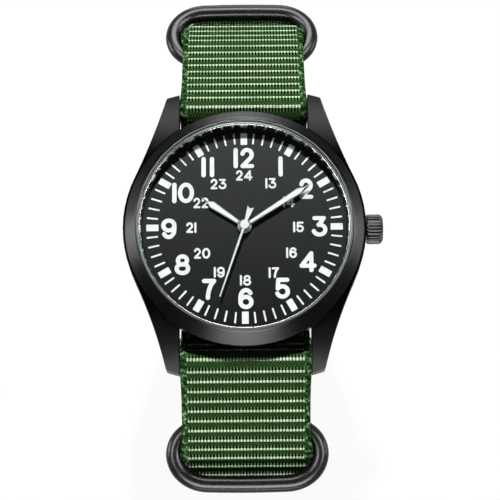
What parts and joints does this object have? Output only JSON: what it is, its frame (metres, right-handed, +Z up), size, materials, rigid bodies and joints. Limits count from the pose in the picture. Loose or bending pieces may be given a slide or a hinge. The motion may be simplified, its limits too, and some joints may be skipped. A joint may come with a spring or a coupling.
{
  "type": "field watch",
  "caption": "Analogue field watch with a fluted crown, on a ribbed pass-through webbing strap with stadium rings, its loop closed by a pin buckle.",
  "frame": {"origin": "on the wrist side of the under-strap, below the dial's centre", "axes": "+Z up through the dial, +Y towards 12 o'clock, +X towards the crown"},
  "size_m": [0.0435, 0.0886, 0.0529],
  "materials": {
    "black_steel": "satin black coating",
    "dark_steel": "gloss black coating",
    "gunmetal": "satin gunmetal",
    "crystal": "clear, flat",
    "dial_black": "matt charcoal with pale printing",
    "hand_white": "pale luminous filling in a satin frame",
    "nylon": "ribbed green webbing",
    "brass": "machined",
    "steel": "turned and polished",
    "copper": "enamelled copper winding",
    "seal_rubber": "soft black",
    "pale_plastic": "moulded",
    "board_green": "printed board",
    "chip_black": "moulded"
  },
  "bodies": {
    "case": {"case": "black_steel", "bezel": "black_steel", "crystal": "crystal", "crystal_gasket": "seal_rubber", "rehaut": "black_steel", "dial": "dial_black", "dial_washer": "brass", "case_back": "black_steel", "case_back_gasket": "seal_rubber", "movement_ring": "pale_plastic", "main_plate": "brass", "train_bridge": "brass", "bridge_screws": "steel", "clamp_screw": "steel", "stator_screws": "steel", "stator": "steel", "coil_core": "steel", "coil": "copper", "battery": "steel", "battery_clamp": "steel", "circuit_board": "board_green", "circuit_chip": "chip_black", "quartz_can": "steel", "crown_tube": "steel", "spring_bar_12": "steel", "spring_bar_6": "steel", "bar_spring_12": "steel", "bar_spring_6": "steel", "strap_main": "nylon", "strap_under": "nylon", "buckle_frame": "dark_steel"},
    "seconds": {"seconds_wheel": "brass", "second_hand": "hand_white"},
    "minutes": {"cannon_pinion": "brass", "minute_hand": "hand_white"},
    "hours": {"hour_wheel": "brass", "hour_hand": "hand_white"},
    "rotor": {"rotor": "steel"},
    "intermediate_wheel": {"intermediate_wheel": "brass"},
    "third_wheel": {"third_wheel": "brass"},
    "centre_wheel": {"centre_wheel": "brass"},
    "minute_wheel": {"minute_wheel": "brass"},
    "setting_wheel": {"setting_wheel": "steel"},
    "clutch_wheel": {"clutch_wheel": "steel"},
    "crown": {"crown": "gunmetal", "crown_gasket": "seal_rubber", "stem": "steel"},
    "setting_lever": {"setting_lever": "steel"},
    "plunger_12_left": {"plunger_12_left": "steel"},
    "plunger_12_right": {"plunger_12_right": "steel"},
    "plunger_6_left": {"plunger_6_left": "steel"},
    "plunger_6_right": {"plunger_6_right": "steel"},
    "ring_12": {"ring_12": "dark_steel"},
    "ring_6": {"ring_6": "dark_steel"},
    "keeper_1": {"keeper_1": "dark_steel"},
    "keeper_2": {"keeper_2": "dark_steel"},
    "buckle_prong": {"buckle_prong": "dark_steel"}
  },
  "joints": [
    {"name": "seconds_turn", "type": "hinge", "parent": "case", "child": "seconds", "pos_m": [0, 0, 0.0065], "axis": [0, 0, -1], "continuous": true},
    {"name": "intermediate_turn", "type": "hinge", "parent": "case", "child": "intermediate_wheel", "pos_m": [-0.00088, 0.00496, 0.0065], "axis": [0, 0, -1], "continuous": true},
    {"name": "rotor_turn", "type": "hinge", "parent": "case", "child": "rotor", "pos_m": [0.00251, 0.00619, 0.0065], "axis": [0, 0, -1], "continuous": true},
    {"name": "third_turn", "type": "hinge", "parent": "case", "child": "third_wheel", "pos_m": [-0.00479, -0.00174, 0.0065], "axis": [0, 0, -1], "continuous": true},
    {"name": "centre_turn", "type": "hinge", "parent": "case", "child": "centre_wheel", "pos_m": [0, 0, 0.0065], "axis": [0, 0, -1], "continuous": true},
    {"name": "minutes_turn", "type": "hinge", "parent": "case", "child": "minutes", "pos_m": [0, 0, 0.0065], "axis": [0, 0, -1], "continuous": true},
    {"name": "minute_wheel_turn", "type": "hinge", "parent": "case", "child": "minute_wheel", "pos_m": [0.0026, -0.0015, 0.0065], "axis": [0, 0, -1], "continuous": true},
    {"name": "setting_wheel_turn", "type": "hinge", "parent": "case", "child": "setting_wheel", "pos_m": [0.00606, -0.00294, 0.0065], "axis": [0, 0, -1], "continuous": true},
    {"name": "hours_turn", "type": "hinge", "parent": "case", "child": "hours", "pos_m": [0, 0, 0.0065], "axis": [0, 0, -1], "continuous": true},
    {"name": "crown_turn", "type": "hinge", "parent": "case", "child": "clutch_wheel", "pos_m": [0.0064, 0, 0.0065], "axis": [1, 0, 0], "continuous": true},
    {"name": "crown_pull", "type": "slide", "parent": "clutch_wheel", "child": "crown", "axis": [1, 0, 0], "range_m": [0, 0.001]},
    {"name": "lever_swing", "type": "hinge", "parent": "case", "child": "setting_lever", "pos_m": [0.00925, 0.0032, 0.0065], "axis": [0, 0, 1], "range_deg": [0, 18.3]},
    {"name": "plunger_12_left_press", "type": "slide", "parent": "case", "child": "plunger_12_left", "axis": [1, 0, 0], "range_m": [0, 0.0011], "stiffness_N_per_m": 400, "springref_m": -0.002, "deforming": ["bar_spring_12"]},
    {"name": "plunger_12_right_press", "type": "slide", "parent": "case", "child": "plunger_12_right", "axis": [-1, 0, 0], "range_m": [0, 0.0011], "stiffness_N_per_m": 400, "springref_m": -0.002, "deforming": ["bar_spring_12"]},
    {"name": "plunger_6_left_press", "type": "slide", "parent": "case", "child": "plunger_6_left", "axis": [1, 0, 0], "range_m": [0, 0.0011], "stiffness_N_per_m": 400, "springref_m": -0.002, "deforming": ["bar_spring_6"]},
    {"name": "plunger_6_right_press", "type": "slide", "parent": "case", "child": "plunger_6_right", "axis": [-1, 0, 0], "range_m": [0, 0.0011], "stiffness_N_per_m": 400, "springref_m": -0.002, "deforming": ["bar_spring_6"]},
    {"name": "ring_12_swing", "type": "hinge", "parent": "case", "child": "ring_12", "pos_m": [0, 0.03458, -0.00522], "axis": [1, 0, 0], "range_deg": [0, 40]},
    {"name": "ring_6_swing", "type": "hinge", "parent": "case", "child": "ring_6", "pos_m": [0, -0.03158, -0.00348], "axis": [-1, 0, 0], "range_deg": [0, 40]},
    {"name": "keeper_1_swing", "type": "hinge", "parent": "case", "child": "keeper_1", "pos_m": [0, 0.002, -0.03365], "axis": [-1, 0, 0], "range_deg": [0, 25]},
    {"name": "keeper_2_swing", "type": "hinge", "parent": "case", "child": "keeper_2", "pos_m": [0, 0.014, -0.03365], "axis": [-1, 0, 0], "range_deg": [0, 25]},
    {"name": "buckle_prong_swing", "type": "hinge", "parent": "case", "child": "buckle_prong", "pos_m": [0, -0.01, -0.03365], "axis": [1, 0, 0], "range_deg": [0, 10]}
  ],
  "couplings": [
    {"joint": "intermediate_turn", "follows": "seconds_turn", "ratio": -6},
    {"joint": "rotor_turn", "follows": "seconds_turn", "ratio": 30},
    {"joint": "third_turn", "follows": "seconds_turn", "ratio": -0.13333},
    {"joint": "centre_turn", "follows": "seconds_turn", "ratio": 0.016667},
    {"joint": "minute_wheel_turn", "follows": "minutes_turn", "ratio": -0.33333},
    {"joint": "setting_wheel_turn", "follows": "minutes_turn", "ratio": 0.5},
    {"joint": "hours_turn", "follows": "minutes_turn", "ratio": 0.083333},
    {"joint": "lever_swing", "follows": "crown_pull", "rad_per_m": 317.8}
  ]
}
